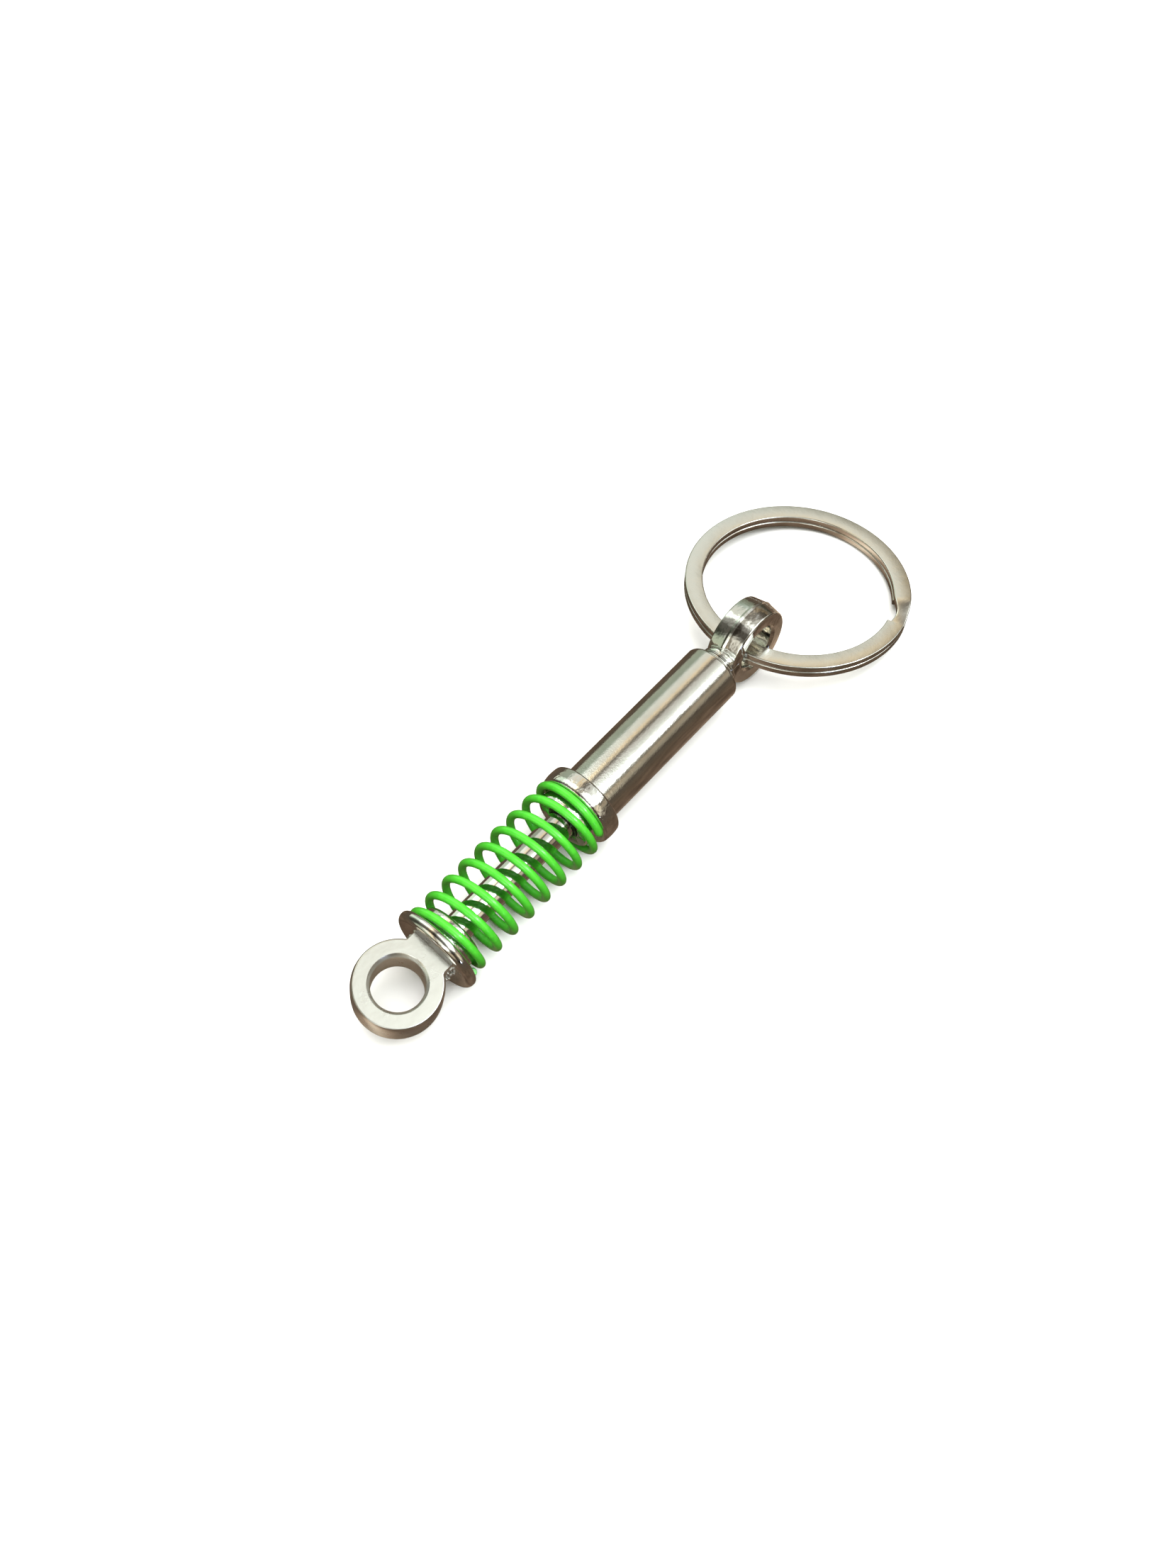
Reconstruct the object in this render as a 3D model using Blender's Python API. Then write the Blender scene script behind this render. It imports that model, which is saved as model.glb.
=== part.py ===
"""Key chain shaped like a miniature coil-over shock absorber, on a split ring.

The shock lies along X with its lower eye at -X and the split ring at +X.
Sizes are in millimetres and turn into metres where a mesh is made.
Along the shock, a station is a distance from the lower eye's centre.
"""
import math

import bmesh
import bpy
from mathutils import Vector

MM = 0.001

# Driving dimensions, in mm and degrees.
GAP = 0.05                  # between faces that touch in the real object
RUNNING = 0.05              # radial clearance of a shaft in its hole

LOWER_EYE_R = 5.40
LOWER_EYE_BORE_R = 3.15
LOWER_EYE_CHAMFER = 0.40    # at both ends of the bore
LOWER_EYE_HALF = 2.65       # half the eye's thickness
LOWER_EYE_ROLL = 15.0       # turn of the eye about the shock's axis
LOWER_NECK_HALF = 2.95      # half the width of the web between eye and flange
WEB_OVERLAP = 0.20          # how far the web runs into the flange

FLANGE_R = 5.87
FLANGE_FOOT = 5.60          # station of the flange's lower face
FLANGE_TOP = 7.04           # station of the lower spring seat
FLANGE_FOOT_EDGE = 0.85     # rounding of the flange's rim, on the eye's side
FLANGE_TOP_EDGE = 0.45      # and on the spring's side
LOWER_BOSS_R = 4.00
LOWER_BOSS_TOP = 9.50
LOWER_BOSS_EDGE = 0.45

COIL_R = 4.83               # to the wire's centre
WIRE_R = 0.51
COIL_PITCH = 2.785
COIL_FIRST = 0.11           # turn at which the active coils begin
COIL_ACTIVE = 7.85          # turns
COIL_TAIL = 0.42            # closed turn before the active coils
COIL_HEAD = 0.50            # closed turn after them
COIL_SOFTNESS = 0.06        # turns over which a closed end becomes an active coil

ROD_R = 1.85
ROD_STUD_R = 1.20           # reduced ends, in the lower mount and through the piston
STUD_FOOT = 6.25
STUD_CHAMFER = 0.20

SEAT_R = 5.30               # collar that holds the spring's upper end, in its middle
SEAT_CROWN = 0.14           # how much its rim falls towards both ends
SEAT_EDGE = 0.40            # rounding of its rim's two corners
SEAT_TOP = 32.65
UPPER_BOSS_R = 4.00
UPPER_BOSS_FOOT = 28.05
UPPER_BOSS_EDGE = 0.35

BUSH_NOSE = 28.00
BUSH_R = 2.22
BUSH_EDGE = 0.12
BUSH_FLANGE_R = 3.05
BUSH_FLANGE_FOOT = 31.05
BUSH_TOP = 32.00

BARREL_R = 3.93
BARREL_BORE_R = 3.10
BARREL_FOOT = 31.10
BARREL_TOP = 56.85
BARREL_SHOULDER = 0.75      # rounding of the top edge

PISTON_LENGTH = 2.00
PISTON_CHAMFER = 0.25
NUT_LENGTH = 1.60
NUT_FLATS = 3.60            # across flats
STUD_PROUD = 0.45           # how far the rod's stud stands out of the nut

UPPER_EYE_STATION = 62.99
UPPER_EYE_R = 5.21          # at its side faces
UPPER_EYE_CROWN_R = 5.60    # in its middle plane
UPPER_EYE_HALF = 2.19
UPPER_EYE_BORE_R = 3.06
UPPER_EYE_CHAMFER = 0.30
UPPER_NECK_R = 2.75
UPPER_NECK_TOP = 59.20
NECK_TAPER = 0.30           # fall of its radius up to there
SPIGOT_FOOT = 54.60
SPIGOT_CHAMFER = 0.20

RING_R = 15.0
RING_HOLE_R = 12.685
RING_THICK = 1.81
RING_TURN_THICK = 0.87      # each of its two turns
RING_TILT = 9.225           # far side down, until it rests on the ground
RING_STATION = 75.444
RING_SIDE = 0.958           # offset of the ring's centre from the shock's axis, towards +Y
RING_END = -77.0            # azimuth of the upper turn's free end
RING_JOGGLE = 20.0          # azimuth over which the upper turn drops to the lower one
RING_END_GAP = 1.5          # azimuth that the joggle keeps clear of the free ends
RING_EDGE = 0.20            # chamfer of the wire's corners

# Places that follow from them.
TILT = math.radians(RING_TILT)
RING_Z = RING_R * math.sin(TILT) + RING_THICK / 2 * math.cos(TILT)
RING_FAR = RING_STATION + RING_R * math.cos(TILT) + RING_THICK / 2 * math.sin(TILT)
AXIS_X = -(RING_FAR - LOWER_EYE_R) / 2
AXIS_Y = -RING_SIDE
AXIS_Z = FLANGE_R
COIL_FOOT = FLANGE_TOP + GAP + WIRE_R
SEAT_FACE = COIL_FOOT + COIL_PITCH * COIL_ACTIVE + WIRE_R + GAP
ROD_TOP = BUSH_TOP + GAP
PISTON_FOOT = ROD_TOP + GAP
NUT_FOOT = PISTON_FOOT + PISTON_LENGTH + GAP

ROUND_STEPS = 40


def material(name, colour, roughness, metallic):
    """A Principled material for one kind of finish."""
    made = bpy.data.materials.new(name)
    made.use_nodes = True
    shader = made.node_tree.nodes["Principled BSDF"]
    shader.inputs["Base Color"].default_value = (*colour, 1.0)
    shader.inputs["Roughness"].default_value = roughness
    shader.inputs["Metallic"].default_value = metallic
    return made


def empty(name, x, y, z):
    """A parent for the pieces that share one axis."""
    made = bpy.data.objects.new(name, None)
    made.empty_display_size = 5 * MM
    made.location = (x * MM, y * MM, z * MM)
    bpy.context.collection.objects.link(made)
    return made


def finished(name, bm, finish, parent):
    """Turn a bmesh in mm into a smooth-shaded object in metres."""
    bmesh.ops.scale(bm, vec=(MM, MM, MM), verts=bm.verts)
    bmesh.ops.recalc_face_normals(bm, faces=bm.faces)
    mesh = bpy.data.meshes.new(name)
    bm.to_mesh(mesh)
    bm.free()
    mesh.materials.append(finish)
    mesh.shade_smooth()
    mesh.set_sharp_from_angle(angle=math.radians(35))
    made = bpy.data.objects.new(name, mesh)
    made.parent = parent
    bpy.context.collection.objects.link(made)
    return made


def arc(x, r, radius, start, end, steps=3):
    """Profile points of a rounded edge, about (x, r), between two angles in degrees."""
    points = []
    for step in range(steps + 1):
        angle = math.radians(start + (end - start) * step / steps)
        points.append((x + radius * math.cos(angle), r + radius * math.sin(angle)))
    return points


def turned(profile, steps=ROUND_STEPS, axis="X"):
    """Turn a closed profile of (along, radius) points about X or Y; radius 0 is a pole."""
    bm = bmesh.new()
    rows = []
    for along, radius in profile:
        row = []
        for step in range(steps):
            angle = 2 * math.pi * step / steps
            across = (radius * math.cos(angle), radius * math.sin(angle))
            if axis == "X":
                place = (along, across[0], across[1])
            else:
                place = (across[0], along, across[1])
            row.append(place)
            if radius == 0:
                break
        rows.append([bm.verts.new(place) for place in row])
    for first, second in zip(rows, rows[1:] + rows[:1]):
        for step in range(steps):
            ring = [first[step % len(first)], first[(step + 1) % len(first)]]
            ring += [second[(step + 1) % len(second)], second[step % len(second)]]
            corners = list(dict.fromkeys(ring))
            if len(corners) > 2:
                bm.faces.new(corners)
    return bm


def swept(path, radials, ups, section):
    """Sweep a closed section of (radial, up) points along a path, with flat ends."""
    bm = bmesh.new()
    rings = []
    for place, radial, up in zip(path, radials, ups):
        rings.append([bm.verts.new(place + radial * a + up * b) for a, b in section])
    for first, second in zip(rings, rings[1:]):
        for k in range(len(section)):
            after = (k + 1) % len(section)
            bm.faces.new((first[k], first[after], second[after], second[k]))
    bm.faces.new(rings[0])
    bm.faces.new(rings[-1])
    return bm


def holed_plate(outline, hole_r, half, chamfer=0.0):
    """A plate of an outline round the origin, with a round hole, thick along Z."""
    levels = [(-half, hole_r + chamfer), (half, hole_r + chamfer)]
    if chamfer:
        levels[1:1] = [(chamfer - half, hole_r), (half - chamfer, hole_r)]
    bm = bmesh.new()
    loops = [[bm.verts.new((x, y, -half)) for x, y in outline]]
    for z, radius in levels:
        loop = []
        for x, y in outline:
            reach = math.hypot(x, y)
            loop.append(bm.verts.new((radius * x / reach, radius * y / reach, z)))
        loops.append(loop)
    loops.append([bm.verts.new((x, y, half)) for x, y in outline])
    count = len(outline)
    for first, second in zip(loops, loops[1:] + loops[:1]):
        for k in range(count):
            after = (k + 1) % count
            bm.faces.new((first[k], first[after], second[after], second[k]))
    return bm


def join(target, tool):
    """Weld a construction piece into the object, with an exact union."""
    tool.hide_render = True
    tool.display_type = "WIRE"
    union = target.modifiers.new(tool.name, "BOOLEAN")
    union.operation = "UNION"
    union.solver = "EXACT"
    union.object = tool


def lower_mount(finish, parent):
    """Casting with the lower eye, the flange that carries the spring, and its boss."""
    foot_edge, top_edge, boss_edge = FLANGE_FOOT_EDGE, FLANGE_TOP_EDGE, LOWER_BOSS_EDGE
    profile = [(FLANGE_FOOT, 0.0)]
    profile += arc(FLANGE_FOOT + foot_edge, FLANGE_R - foot_edge, foot_edge, 180, 90, steps=5)
    profile += arc(FLANGE_TOP - top_edge, FLANGE_R - top_edge, top_edge, 90, 0)
    profile += [(FLANGE_TOP, LOWER_BOSS_R)]
    profile += arc(LOWER_BOSS_TOP - boss_edge, LOWER_BOSS_R - boss_edge, boss_edge, 90, 0)
    socket_r = ROD_STUD_R + GAP
    socket_foot = STUD_FOOT - GAP
    profile += [(LOWER_BOSS_TOP, socket_r), (socket_foot, socket_r), (socket_foot, 0.0)]
    flange = finished("lower_mount", turned(profile), finish, parent)

    outline = []
    meeting = math.asin(LOWER_NECK_HALF / LOWER_EYE_R)
    around = 36
    for step in range(around + 1):
        angle = meeting + (2 * math.pi - 2 * meeting) * step / around
        outline.append((LOWER_EYE_R * math.cos(angle), LOWER_EYE_R * math.sin(angle)))
    web_end = FLANGE_FOOT + WEB_OVERLAP
    for share in (-1.0, -0.5, 0.0, 0.5, 1.0):
        outline.append((web_end, share * LOWER_NECK_HALF))
    bm = holed_plate(outline, LOWER_EYE_BORE_R, LOWER_EYE_HALF, LOWER_EYE_CHAMFER)
    eye = finished("lower_eye_shape", bm, finish, parent)
    eye.rotation_euler.x = math.radians(LOWER_EYE_ROLL)
    join(flange, eye)


def piston_rod(finish, parent):
    """Polished rod with a reduced stud at each end."""
    stud_end = NUT_FOOT + NUT_LENGTH + STUD_PROUD
    profile = [
        (STUD_FOOT, 0.0),
        (STUD_FOOT, ROD_STUD_R),
        (LOWER_BOSS_TOP + GAP, ROD_STUD_R),
        (LOWER_BOSS_TOP + GAP, ROD_R),
        (ROD_TOP, ROD_R),
        (ROD_TOP, ROD_STUD_R),
        (stud_end - STUD_CHAMFER, ROD_STUD_R),
        (stud_end, ROD_STUD_R - STUD_CHAMFER),
        (stud_end, 0.0),
    ]
    finished("piston_rod", turned(profile), finish, parent)


def piston(finish, parent):
    """Disc that runs in the barrel and keeps the rod from pulling out."""
    outer = BARREL_BORE_R - RUNNING
    bore = ROD_STUD_R + RUNNING
    top = PISTON_FOOT + PISTON_LENGTH
    profile = [
        (PISTON_FOOT, bore),
        (PISTON_FOOT, outer - PISTON_CHAMFER),
        (PISTON_FOOT + PISTON_CHAMFER, outer),
        (top - PISTON_CHAMFER, outer),
        (top, outer - PISTON_CHAMFER),
        (top, bore),
    ]
    finished("piston", turned(profile), finish, parent)


def piston_nut(finish, parent):
    """Small hexagonal nut on the rod's inner stud, behind the piston."""
    outline = []
    sides = 6
    points_per_side = 4
    for step in range(sides * points_per_side):
        side = step // points_per_side
        along = step % points_per_side / points_per_side
        corner_r = NUT_FLATS / 2 / math.cos(math.pi / sides)
        start = math.pi / 3 * side
        first = Vector((math.cos(start), math.sin(start))) * corner_r
        second = Vector((math.cos(start + math.pi / 3), math.sin(start + math.pi / 3))) * corner_r
        outline.append(tuple(first.lerp(second, along)))
    bm = holed_plate(outline, ROD_STUD_R + GAP, NUT_LENGTH / 2)
    nut = finished("piston_nut", bm, finish, parent)
    nut.location.x = (NUT_FOOT + NUT_LENGTH / 2) * MM
    nut.rotation_euler.y = math.radians(90)


def rod_guide_bush(finish, parent):
    """Flanged bush in the collar's mouth that guides the rod."""
    bore = ROD_R + RUNNING
    profile = [(BUSH_NOSE, bore)]
    profile += arc(BUSH_NOSE + BUSH_EDGE, BUSH_R - BUSH_EDGE, BUSH_EDGE, 180, 90)
    profile += [
        (BUSH_FLANGE_FOOT, BUSH_R),
        (BUSH_FLANGE_FOOT, BUSH_FLANGE_R),
        (BUSH_TOP, BUSH_FLANGE_R),
        (BUSH_TOP, bore),
    ]
    finished("rod_guide_bush", turned(profile), finish, parent)


def upper_spring_seat(finish, parent):
    """Collar on the barrel's foot, with a boss that centres the spring."""
    boss, edge = UPPER_BOSS_EDGE, SEAT_EDGE
    rim_r = SEAT_R - SEAT_CROWN
    socket_foot = BUSH_FLANGE_FOOT - GAP
    profile = [(UPPER_BOSS_FOOT, BUSH_R + GAP)]
    profile += arc(UPPER_BOSS_FOOT + boss, UPPER_BOSS_R - boss, boss, 180, 90)
    profile += [(SEAT_FACE, UPPER_BOSS_R)]
    profile += arc(SEAT_FACE + edge, rim_r - edge, edge, 180, 90)
    profile += [((SEAT_FACE + SEAT_TOP) / 2, SEAT_R)]
    profile += arc(SEAT_TOP - edge, rim_r - edge, edge, 90, 0)
    profile += [
        (SEAT_TOP, BARREL_R + GAP),
        (socket_foot, BARREL_R + GAP),
        (socket_foot, BUSH_R + GAP),
    ]
    finished("upper_spring_seat", turned(profile), finish, parent)


def barrel_tube(finish, parent):
    """Plain tube with a rounded shoulder, open at both ends."""
    profile = [(BARREL_FOOT, BARREL_BORE_R), (BARREL_FOOT, BARREL_R)]
    shoulder = BARREL_TOP - BARREL_SHOULDER
    profile += arc(shoulder, BARREL_R - BARREL_SHOULDER, BARREL_SHOULDER, 90, 0)
    profile += [(BARREL_TOP, BARREL_BORE_R)]
    finished("barrel_tube", turned(profile), finish, parent)


def upper_eye(finish, parent):
    """Crowned eye on a short neck, with a spigot pressed into the barrel."""
    half = UPPER_EYE_HALF
    bore = UPPER_EYE_BORE_R
    chamfer = UPPER_EYE_CHAMFER
    profile = [
        (-half, bore + chamfer),
        (-half, UPPER_EYE_R),
        (0.0, UPPER_EYE_CROWN_R),
        (half, UPPER_EYE_R),
        (half, bore + chamfer),
        (half - chamfer, bore),
        (chamfer - half, bore),
    ]
    eye = finished("upper_eye", turned(profile, axis="Y"), finish, parent)
    eye.location.x = UPPER_EYE_STATION * MM

    spigot_r = BARREL_BORE_R - GAP
    neck = [
        (SPIGOT_FOOT, 0.0),
        (SPIGOT_FOOT, spigot_r - SPIGOT_CHAMFER),
        (SPIGOT_FOOT + SPIGOT_CHAMFER, spigot_r),
        (BARREL_TOP, spigot_r),
        (BARREL_TOP, UPPER_NECK_R),
        (UPPER_NECK_TOP, UPPER_NECK_R - NECK_TAPER),
        (UPPER_NECK_TOP, 0.0),
    ]
    join(eye, finished("upper_neck_shape", turned(neck), finish, parent))


def climb(turn):
    """How many pitches the wire has climbed at a turn, with both ends closed."""
    def ramp(from_turn):
        return COIL_SOFTNESS * math.log1p(math.exp((turn - from_turn) / COIL_SOFTNESS))
    return ramp(COIL_FIRST) - ramp(COIL_FIRST + COIL_ACTIVE)


def coil_spring(finish, parent):
    """Right-handed round-wire compression spring with closed ends."""
    first = -COIL_TAIL
    last = COIL_FIRST + COIL_ACTIVE + COIL_HEAD
    steps_per_turn = 20
    count = round((last - first) * steps_per_turn)
    path = []
    radials = []
    for step in range(count + 1):
        turn = first + (last - first) * step / count
        angle = 2 * math.pi * turn
        radial = Vector((0.0, math.cos(angle), math.sin(angle)))
        radials.append(radial)
        path.append(radial * COIL_R + Vector((COIL_FOOT + COIL_PITCH * climb(turn), 0, 0)))
    ups = []
    for step, radial in enumerate(radials):
        tangent = path[min(step + 1, count)] - path[max(step - 1, 0)]
        ups.append(tangent.cross(radial).normalized())
    sides = 8
    section = []
    for side in range(sides):
        angle = 2 * math.pi * side / sides
        section.append((WIRE_R * math.cos(angle), WIRE_R * math.sin(angle)))
    finished("coil_spring", swept(path, radials, ups, section), finish, parent)


def key_ring(finish, parent):
    """Split ring of flat wire: two turns, with a joggle from one to the other."""
    middle_r = (RING_R + RING_HOLE_R) / 2
    half_wide = (RING_R - RING_HOLE_R) / 2
    half_thick = RING_TURN_THICK / 2
    lift = (RING_THICK - RING_TURN_THICK) / 2
    length = 720.0 - RING_JOGGLE - RING_END_GAP
    count = 112
    path = []
    radials = []
    for step in range(count + 1):
        run = length * step / count
        angle = math.radians(RING_END - run)
        share = min(max((run - (360.0 - RING_JOGGLE)) / (RING_JOGGLE - RING_END_GAP), 0.0), 1.0)
        height = lift * math.cos(math.pi * share)
        radials.append(Vector((math.cos(angle), math.sin(angle), 0.0)))
        path.append(radials[-1] * middle_r + Vector((0, 0, height)))
    section = []
    for a, b in ((1, 1), (-1, 1), (-1, -1), (1, -1)):
        side = (a * half_wide, b * (half_thick - RING_EDGE))
        face = (a * (half_wide - RING_EDGE), b * half_thick)
        section += [side, face] if a * b > 0 else [face, side]
    ups = [Vector((0, 0, 1))] * len(path)
    ring = finished("key_ring", swept(path, radials, ups, section), finish, parent)
    ring.location.x = (RING_STATION - UPPER_EYE_STATION) * MM
    ring.location.y = RING_SIDE * MM
    ring.location.z = (RING_Z - AXIS_Z) * MM
    ring.rotation_euler.y = TILT


def build():
    for old in list(bpy.data.objects):
        bpy.data.objects.remove(old)
    plate = material("plated_casting", (0.62, 0.60, 0.56), 0.12, 1.0)
    polish = material("polished_rod", (0.70, 0.69, 0.66), 0.06, 1.0)
    nickel = material("nickel_ring", (0.55, 0.54, 0.51), 0.22, 1.0)
    steel = material("turned_steel", (0.45, 0.45, 0.45), 0.35, 1.0)
    black = material("black_bush", (0.02, 0.02, 0.02), 0.35, 0.0)
    green = material("green_coating", (0.06, 0.60, 0.04), 0.22, 0.0)

    shock_axis = empty("shock_axis", AXIS_X, AXIS_Y, AXIS_Z)
    ring_pivot = empty("ring_pivot", AXIS_X + UPPER_EYE_STATION, AXIS_Y, AXIS_Z)

    lower_mount(plate, shock_axis)
    piston_rod(polish, shock_axis)
    piston(steel, shock_axis)
    piston_nut(steel, shock_axis)
    rod_guide_bush(black, shock_axis)
    upper_spring_seat(plate, shock_axis)
    barrel_tube(plate, shock_axis)
    upper_eye(plate, shock_axis)
    coil_spring(green, shock_axis)
    key_ring(nickel, ring_pivot)


build()
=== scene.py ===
"""Looks of the key chain shaped like a miniature coil-over shock absorber.

Stations are distances in millimetres along the shock from the lower eye's centre, as in the
CAD model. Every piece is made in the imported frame's own coordinates, in metres.
"""
import math
import random

import bmesh
import bpy
from mathutils import Matrix, Vector


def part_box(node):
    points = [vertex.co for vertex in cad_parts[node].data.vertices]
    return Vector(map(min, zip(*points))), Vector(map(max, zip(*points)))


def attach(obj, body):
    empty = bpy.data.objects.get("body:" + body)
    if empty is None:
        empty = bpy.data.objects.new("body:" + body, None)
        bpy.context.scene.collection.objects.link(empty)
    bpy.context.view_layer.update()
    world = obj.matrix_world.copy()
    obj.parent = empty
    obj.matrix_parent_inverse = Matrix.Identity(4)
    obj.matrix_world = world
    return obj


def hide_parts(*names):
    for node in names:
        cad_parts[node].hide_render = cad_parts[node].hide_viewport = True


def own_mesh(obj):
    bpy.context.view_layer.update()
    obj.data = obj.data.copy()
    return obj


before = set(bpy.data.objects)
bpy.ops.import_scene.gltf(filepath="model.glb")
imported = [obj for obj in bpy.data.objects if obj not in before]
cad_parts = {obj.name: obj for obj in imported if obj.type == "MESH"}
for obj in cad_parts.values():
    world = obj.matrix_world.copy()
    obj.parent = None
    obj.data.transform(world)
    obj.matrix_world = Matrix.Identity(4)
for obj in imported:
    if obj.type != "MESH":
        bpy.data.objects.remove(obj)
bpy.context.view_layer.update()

MM = 0.001

# ---------------------------------------------------------------- places, from the frame

barrel_low, barrel_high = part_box("barrel_tube")
mount_low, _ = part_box("lower_mount")
ring_low, ring_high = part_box("key_ring")

LOWER_EYE_R = 5.40          # sizes are in millimetres and angles in degrees
AXIS_Y = (barrel_low.y + barrel_high.y) / 2
AXIS_Z = (barrel_low.z + barrel_high.z) / 2
START_X = mount_low.x + LOWER_EYE_R * MM

GAP = 0.05                  # clearance between neighbouring pieces

LOWER_EYE_BORE_R = 3.15
LOWER_EYE_CHAMFER = 0.40
LOWER_EYE_HALF = 2.65       # half its thickness
LOWER_EYE_ROLL = 15.0       # turn of the eye about the shock's axis
LOWER_NECK_HALF = 2.95      # half the width of the web
WEB_FILLET = 0.55
WEB_OVERLAP = 0.30          # how far the web runs into the flange
FLAT_MARGIN = 0.08          # narrow border that keeps the eye's flat face shaded flat
FLANGE_R = 5.87
FLANGE_FOOT = 5.60
FLANGE_TOP = 7.04
LOWER_BOSS_R = 4.00
LOWER_BOSS_TOP = 9.50

COIL_R = 4.83               # radius of the wire's centre line
WIRE_R = 0.51
COIL_PITCH = 2.785
COIL_FIRST = 0.11           # turn where the wire starts to climb
COIL_ACTIVE = 7.85          # turns that climb
COIL_TAIL = 0.42            # closed turns at the foot
COIL_HEAD = 0.50            # closed turns at the top
COIL_SOFTNESS = 0.06        # turns over which the climb starts and stops
WIRE_END_SOFT = 0.12        # rounding of the coated cut ends
COIL_FOOT = FLANGE_TOP + GAP + WIRE_R
SEAT_FACE = COIL_FOOT + COIL_PITCH * COIL_ACTIVE + WIRE_R + GAP

ROD_R = 1.85
ROD_STUD_R = 1.20
STUD_FOOT = 6.25
ROD_TOP = 32.05
ROD_STUD_TOP = 36.25
BUSH_NOSE = 28.00
BUSH_R = 2.22
BUSH_FLANGE_R = 3.05
BUSH_FLANGE_FOOT = 31.05
BUSH_TOP = 32.00
UPPER_BOSS_FOOT = 28.05
UPPER_BOSS_R = 4.00
SEAT_R = 5.30
SEAT_TOP = 32.65
SEAT_SOCKET_FOOT = 31.00    # floor of the socket that takes the barrel
BARREL_R = 3.93
BARREL_BORE_R = 3.10
BARREL_FOOT = 31.10
BARREL_TOP = 56.85
BARREL_SHOULDER = 0.74

UPPER_EYE_STATION = 62.99
UPPER_EYE_R = 5.21
UPPER_EYE_CROWN_R = 5.60
UPPER_EYE_HALF = 2.19
UPPER_EYE_BORE_R = 3.06
UPPER_NECK_R = 2.75
SPIGOT_FOOT = 54.60

RING_R = 15.0
RING_HOLE_R = 12.685
RING_TURN_THICK = 0.87
RING_THICK = 1.81
RING_TILT = math.radians(9.225)
RING_END = -77.0            # where the upper turn's free end points
RING_JOGGLE = 20.0          # arc over which the wire changes from turn to turn
RING_END_GAP = 1.5          # arc between a free end and the joggle
RING_WIRE_EDGE = 0.17
RING_PINCH = 0.34           # narrowing of the wire at the joggle
RING_STATION = 75.444

TO_SHOCK = Matrix.Translation((START_X, AXIS_Y, AXIS_Z)) @ Matrix.Scale(MM, 4)
RING_CENTRE = Vector((START_X + RING_STATION * MM, (ring_low.y + ring_high.y) / 2,
                      (ring_low.z + ring_high.z) / 2))
TO_RING = (Matrix.Translation(RING_CENTRE) @ Matrix.Rotation(RING_TILT, 4, "Y")
           @ Matrix.Scale(MM, 4))


# ---------------------------------------------------------------- camera, floor and light

def add_camera():
    """The photograph's view: from above the lower eye's side, rolled a little."""
    azimuth, elevation, roll = math.radians(-132.40), math.radians(59.33), math.radians(-6.92)
    distance = 0.18545
    target = Vector((START_X + 34.11 * MM, AXIS_Y + 1.24 * MM, AXIS_Z))
    back = Vector((math.cos(elevation) * math.cos(azimuth),
                   math.cos(elevation) * math.sin(azimuth), math.sin(elevation)))
    level = (-back).cross(Vector((0, 0, 1))).normalized()
    upright = level.cross(-back)
    right = level * math.cos(roll) + upright * math.sin(roll)
    up = upright * math.cos(roll) - level * math.sin(roll)
    data = bpy.data.cameras.new("camera")
    data.sensor_width = 36.0
    data.lens = 34.91
    data.clip_start = 0.01
    data.clip_end = 20.0
    camera = bpy.data.objects.new("camera", data)
    turn = Matrix((right, up, back)).transposed()
    camera.matrix_world = Matrix.Translation(target + back * distance) @ turn.to_4x4()
    bpy.context.collection.objects.link(camera)
    bpy.context.scene.camera = camera


def new_material(name):
    """An empty node material with its output, as (material, nodes, links, output)."""
    made = bpy.data.materials.new(name)
    made.use_nodes = True
    tree = made.node_tree
    tree.nodes.clear()
    output = tree.nodes.new("ShaderNodeOutputMaterial")
    return made, tree.nodes, tree.links, output


def ramp(nodes, stops, interpolation="LINEAR"):
    """A colour ramp with (place, colour) stops."""
    made = nodes.new("ShaderNodeValToRGB")
    made.color_ramp.interpolation = interpolation
    elements = made.color_ramp.elements
    while len(elements) > 1:
        elements.remove(elements[-1])
    elements[0].position = stops[0][0]
    elements[0].color = (*stops[0][1], 1.0)
    for place, colour in stops[1:]:
        elements.new(place).color = (*colour, 1.0)
    return made


def calculate(nodes, links, operation, *inputs):
    """A math node over sockets and numbers; returns its result."""
    made = nodes.new("ShaderNodeMath")
    made.operation = operation
    for slot, value in zip(made.inputs, inputs):
        if isinstance(value, (int, float)):
            slot.default_value = value
        else:
            links.new(value, slot)
    return made.outputs["Value"]


def spread(nodes, links, value, start, end, low, high):
    """A value mapped from start-end to low-high."""
    made = nodes.new("ShaderNodeMapRange")
    made.inputs["From Min"].default_value = start
    made.inputs["From Max"].default_value = end
    made.inputs["To Min"].default_value = low
    made.inputs["To Max"].default_value = high
    links.new(value, made.inputs["Value"])
    return made.outputs["Result"]


def strip_ramp(nodes, links, value, low, high, strips):
    """A colour ramp over a value, with stops in the value's own unit."""
    share = spread(nodes, links, value, low, high, 0.0, 1.0)
    colours = ramp(nodes, [((place - low) / (high - low), colour) for place, colour in strips])
    links.new(share, colours.inputs["Fac"])
    return colours


def for_the_camera(nodes, links, seen, met):
    """Mix two shaders: one that the camera sees, and one that every other ray meets."""
    path = nodes.new("ShaderNodeLightPath")
    mix = nodes.new("ShaderNodeMixShader")
    links.new(path.outputs["Is Camera Ray"], mix.inputs["Fac"])
    links.new(met, mix.inputs[1])
    links.new(seen, mix.inputs[2])
    return mix.outputs["Shader"]


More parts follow.
